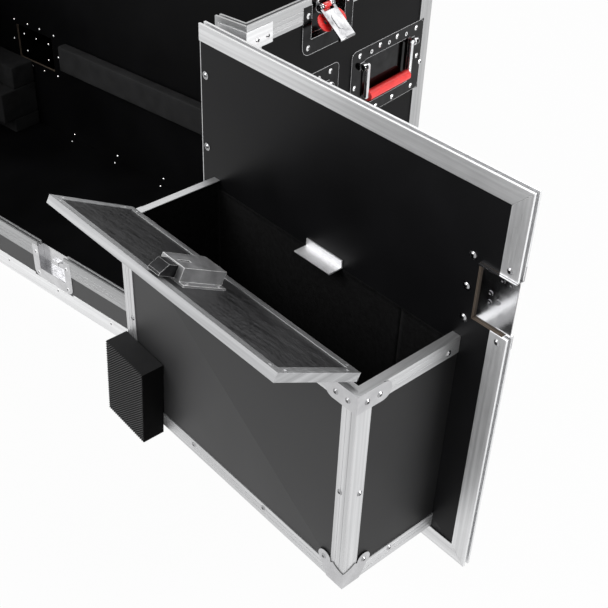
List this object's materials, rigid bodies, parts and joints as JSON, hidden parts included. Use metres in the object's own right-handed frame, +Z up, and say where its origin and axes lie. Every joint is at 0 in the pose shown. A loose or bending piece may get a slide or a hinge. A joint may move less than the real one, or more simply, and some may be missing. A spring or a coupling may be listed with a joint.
{
  "type": "mixer flight case",
  "caption": "Open-topped road case for a mixing desk, with hinged front doors, an accessory box with a flap lid, recessed spring handles and butterfly latches.",
  "frame": {"origin": "centre of the case body's underside, on the floor", "axes": "+Z up, +X towards the end beside the door with the accessory box, -Y towards the doors"},
  "size_m": [2.2822, 0.8397, 0.717],
  "materials": {
    "black_ply": "black textured laminate, satin",
    "aluminium": "extruded, satin",
    "dish_steel": "plated, bright",
    "hinge_steel": "satin",
    "zinc": "zinc plated, bright",
    "rivet_steel": "bright",
    "red_rubber": "satin",
    "red_paint": "gloss",
    "foam": "matt closed cell foam",
    "carpet": "matt lining"
  },
  "bodies": {
    "case": {"floor_panel": "black_ply", "back_panel": "black_ply", "right_end_panel": "black_ply", "left_end_panel": "black_ply", "sill_panel": "black_ply", "stile_panels": "black_ply", "base_angles": "aluminium", "corner_angles": "aluminium", "rim_extrusions": "aluminium", "corner_plates": "aluminium", "case_rivets": "rivet_steel", "lid_latch_dishes": "dish_steel", "sill_keepers": "dish_steel", "end_handle_dishes": "dish_steel", "back_handle_dishes": "dish_steel", "door_hinge_fixed_leaves": "hinge_steel", "back_foam_strips": "foam", "sill_foam_strips": "foam", "end_foam_blocks": "foam"},
    "right_door": {"right_door_panel": "black_ply", "right_door_extrusion": "aluminium", "right_door_hinge_leaf": "hinge_steel", "right_door_dishes": "dish_steel", "right_door_rivets": "rivet_steel", "box_front_panel": "black_ply", "box_end_panels": "black_ply", "box_bottom_panel": "black_ply", "box_lining": "carpet", "box_trim": "aluminium", "box_bumper": "foam", "strike_plate": "aluminium", "flap_hinge_fixed_leaf": "hinge_steel"},
    "left_door": {"left_door_panel": "black_ply", "left_door_extrusion": "aluminium", "left_door_hinge_leaf": "hinge_steel", "left_door_dishes": "dish_steel"},
    "flap_lid": {"flap_panel": "black_ply", "flap_frame": "aluminium", "flap_latch_case": "zinc"},
    "flap_bolt": {"flap_latch_bolt": "zinc"},
    "right_front_handle": {"right_front_bail": "zinc", "right_front_grip": "red_rubber"},
    "right_rear_handle": {"right_rear_bail": "zinc", "right_rear_grip": "red_rubber"},
    "left_front_handle": {"left_front_bail": "zinc", "left_front_grip": "red_rubber"},
    "left_rear_handle": {"left_rear_bail": "zinc", "left_rear_grip": "red_rubber"},
    "back_right_handle": {"back_right_bail": "zinc", "back_right_grip": "red_rubber"},
    "back_left_handle": {"back_left_bail": "zinc", "back_left_grip": "red_rubber"},
    "right_lid_latch_wing": {"right_lid_wing": "red_paint"},
    "right_lid_latch_link": {"right_lid_link": "zinc"},
    "left_lid_latch_wing": {"left_lid_wing": "red_paint"},
    "left_lid_latch_link": {"left_lid_link": "zinc"},
    "right_door_latch_wing": {"right_door_wing": "red_paint"},
    "right_door_latch_link": {"right_door_link": "zinc"},
    "left_door_latch_wing": {"left_door_wing": "red_paint"},
    "left_door_latch_link": {"left_door_link": "zinc"}
  },
  "joints": [
    {"name": "right_front_turn", "type": "hinge", "parent": "case", "child": "right_front_handle", "pos_m": [0.642, -0.111, 0.569], "axis": [0, -1, 0], "range_deg": [0, 95], "stiffness_Nm_per_rad": 0.3, "springref_deg": -17.19},
    {"name": "right_rear_turn", "type": "hinge", "parent": "case", "child": "right_rear_handle", "pos_m": [0.642, 0.111, 0.569], "axis": [0, -1, 0], "range_deg": [0, 95], "stiffness_Nm_per_rad": 0.3, "springref_deg": -17.19},
    {"name": "left_front_turn", "type": "hinge", "parent": "case", "child": "left_front_handle", "pos_m": [-0.642, -0.111, 0.569], "axis": [0, 1, 0], "range_deg": [0, 95], "stiffness_Nm_per_rad": 0.3, "springref_deg": -17.19},
    {"name": "left_rear_turn", "type": "hinge", "parent": "case", "child": "left_rear_handle", "pos_m": [-0.642, 0.111, 0.569], "axis": [0, 1, 0], "range_deg": [0, 95], "stiffness_Nm_per_rad": 0.3, "springref_deg": -17.19},
    {"name": "back_right_turn", "type": "hinge", "parent": "case", "child": "back_right_handle", "pos_m": [0.4535, 0.2295, 0.2495], "axis": [1, 0, 0], "range_deg": [0, 95], "stiffness_Nm_per_rad": 0.3, "springref_deg": -17.19},
    {"name": "back_left_turn", "type": "hinge", "parent": "case", "child": "back_left_handle", "pos_m": [-0.4535, 0.2295, 0.2495], "axis": [1, 0, 0], "range_deg": [0, 95], "stiffness_Nm_per_rad": 0.3, "springref_deg": -17.19},
    {"name": "right_lid_wing_fold", "type": "hinge", "parent": "case", "child": "right_lid_latch_wing", "pos_m": [0.6315, -0.048, 0.694], "axis": [0, 1, 0], "range_deg": [0, 45]},
    {"name": "right_lid_link_swing", "type": "hinge", "parent": "case", "child": "right_lid_latch_link", "pos_m": [0.6315, -0.048, 0.694], "axis": [0, -1, 0], "range_deg": [0, 128]},
    {"name": "left_lid_wing_fold", "type": "hinge", "parent": "case", "child": "left_lid_latch_wing", "pos_m": [-0.6315, -0.048, 0.694], "axis": [0, -1, 0], "range_deg": [0, 45]},
    {"name": "left_lid_link_swing", "type": "hinge", "parent": "case", "child": "left_lid_latch_link", "pos_m": [-0.6315, -0.048, 0.694], "axis": [0, 1, 0], "range_deg": [0, 128]},
    {"name": "right_door_wing_fold", "type": "hinge", "parent": "right_door", "child": "right_door_latch_wing", "pos_m": [1.02247, -0.31009, 0.133], "axis": [0.9898, -0.1426, 0], "range_deg": [0, 45]},
    {"name": "right_door_link_swing", "type": "hinge", "parent": "right_door", "child": "right_door_latch_link", "pos_m": [1.02247, -0.31009, 0.133], "axis": [-0.9898, 0.1426, 0], "range_deg": [0, 128]},
    {"name": "left_door_wing_fold", "type": "hinge", "parent": "left_door", "child": "left_door_latch_wing", "pos_m": [-1.02247, -0.31009, 0.133], "axis": [0.9898, 0.1426, 0], "range_deg": [0, 45]},
    {"name": "left_door_link_swing", "type": "hinge", "parent": "left_door", "child": "left_door_latch_link", "pos_m": [-1.02247, -0.31009, 0.133], "axis": [-0.9898, -0.1426, 0], "range_deg": [0, 128]},
    {"name": "right_door_swing", "type": "hinge", "parent": "case", "child": "right_door", "pos_m": [0.5745, -0.2322, 0.4], "axis": [0, 0, -1], "range_deg": [0, 171.8]},
    {"name": "left_door_swing", "type": "hinge", "parent": "case", "child": "left_door", "pos_m": [-0.5745, -0.2322, 0.4], "axis": [0, 0, 1], "range_deg": [0, 171.8]},
    {"name": "flap_swing", "type": "hinge", "parent": "right_door", "child": "flap_lid", "pos_m": [0.81562, -0.44497, 0.4865], "axis": [-0.9898, 0.1426, 0], "range_deg": [0, 151.2]},
    {"name": "bolt_slide", "type": "slide", "parent": "flap_lid", "child": "flap_bolt", "axis": [0.125, 0.8673, -0.4818], "range_m": [0, 0.009], "stiffness_N_per_m": 300, "springref_m": -0.01}
  ]
}
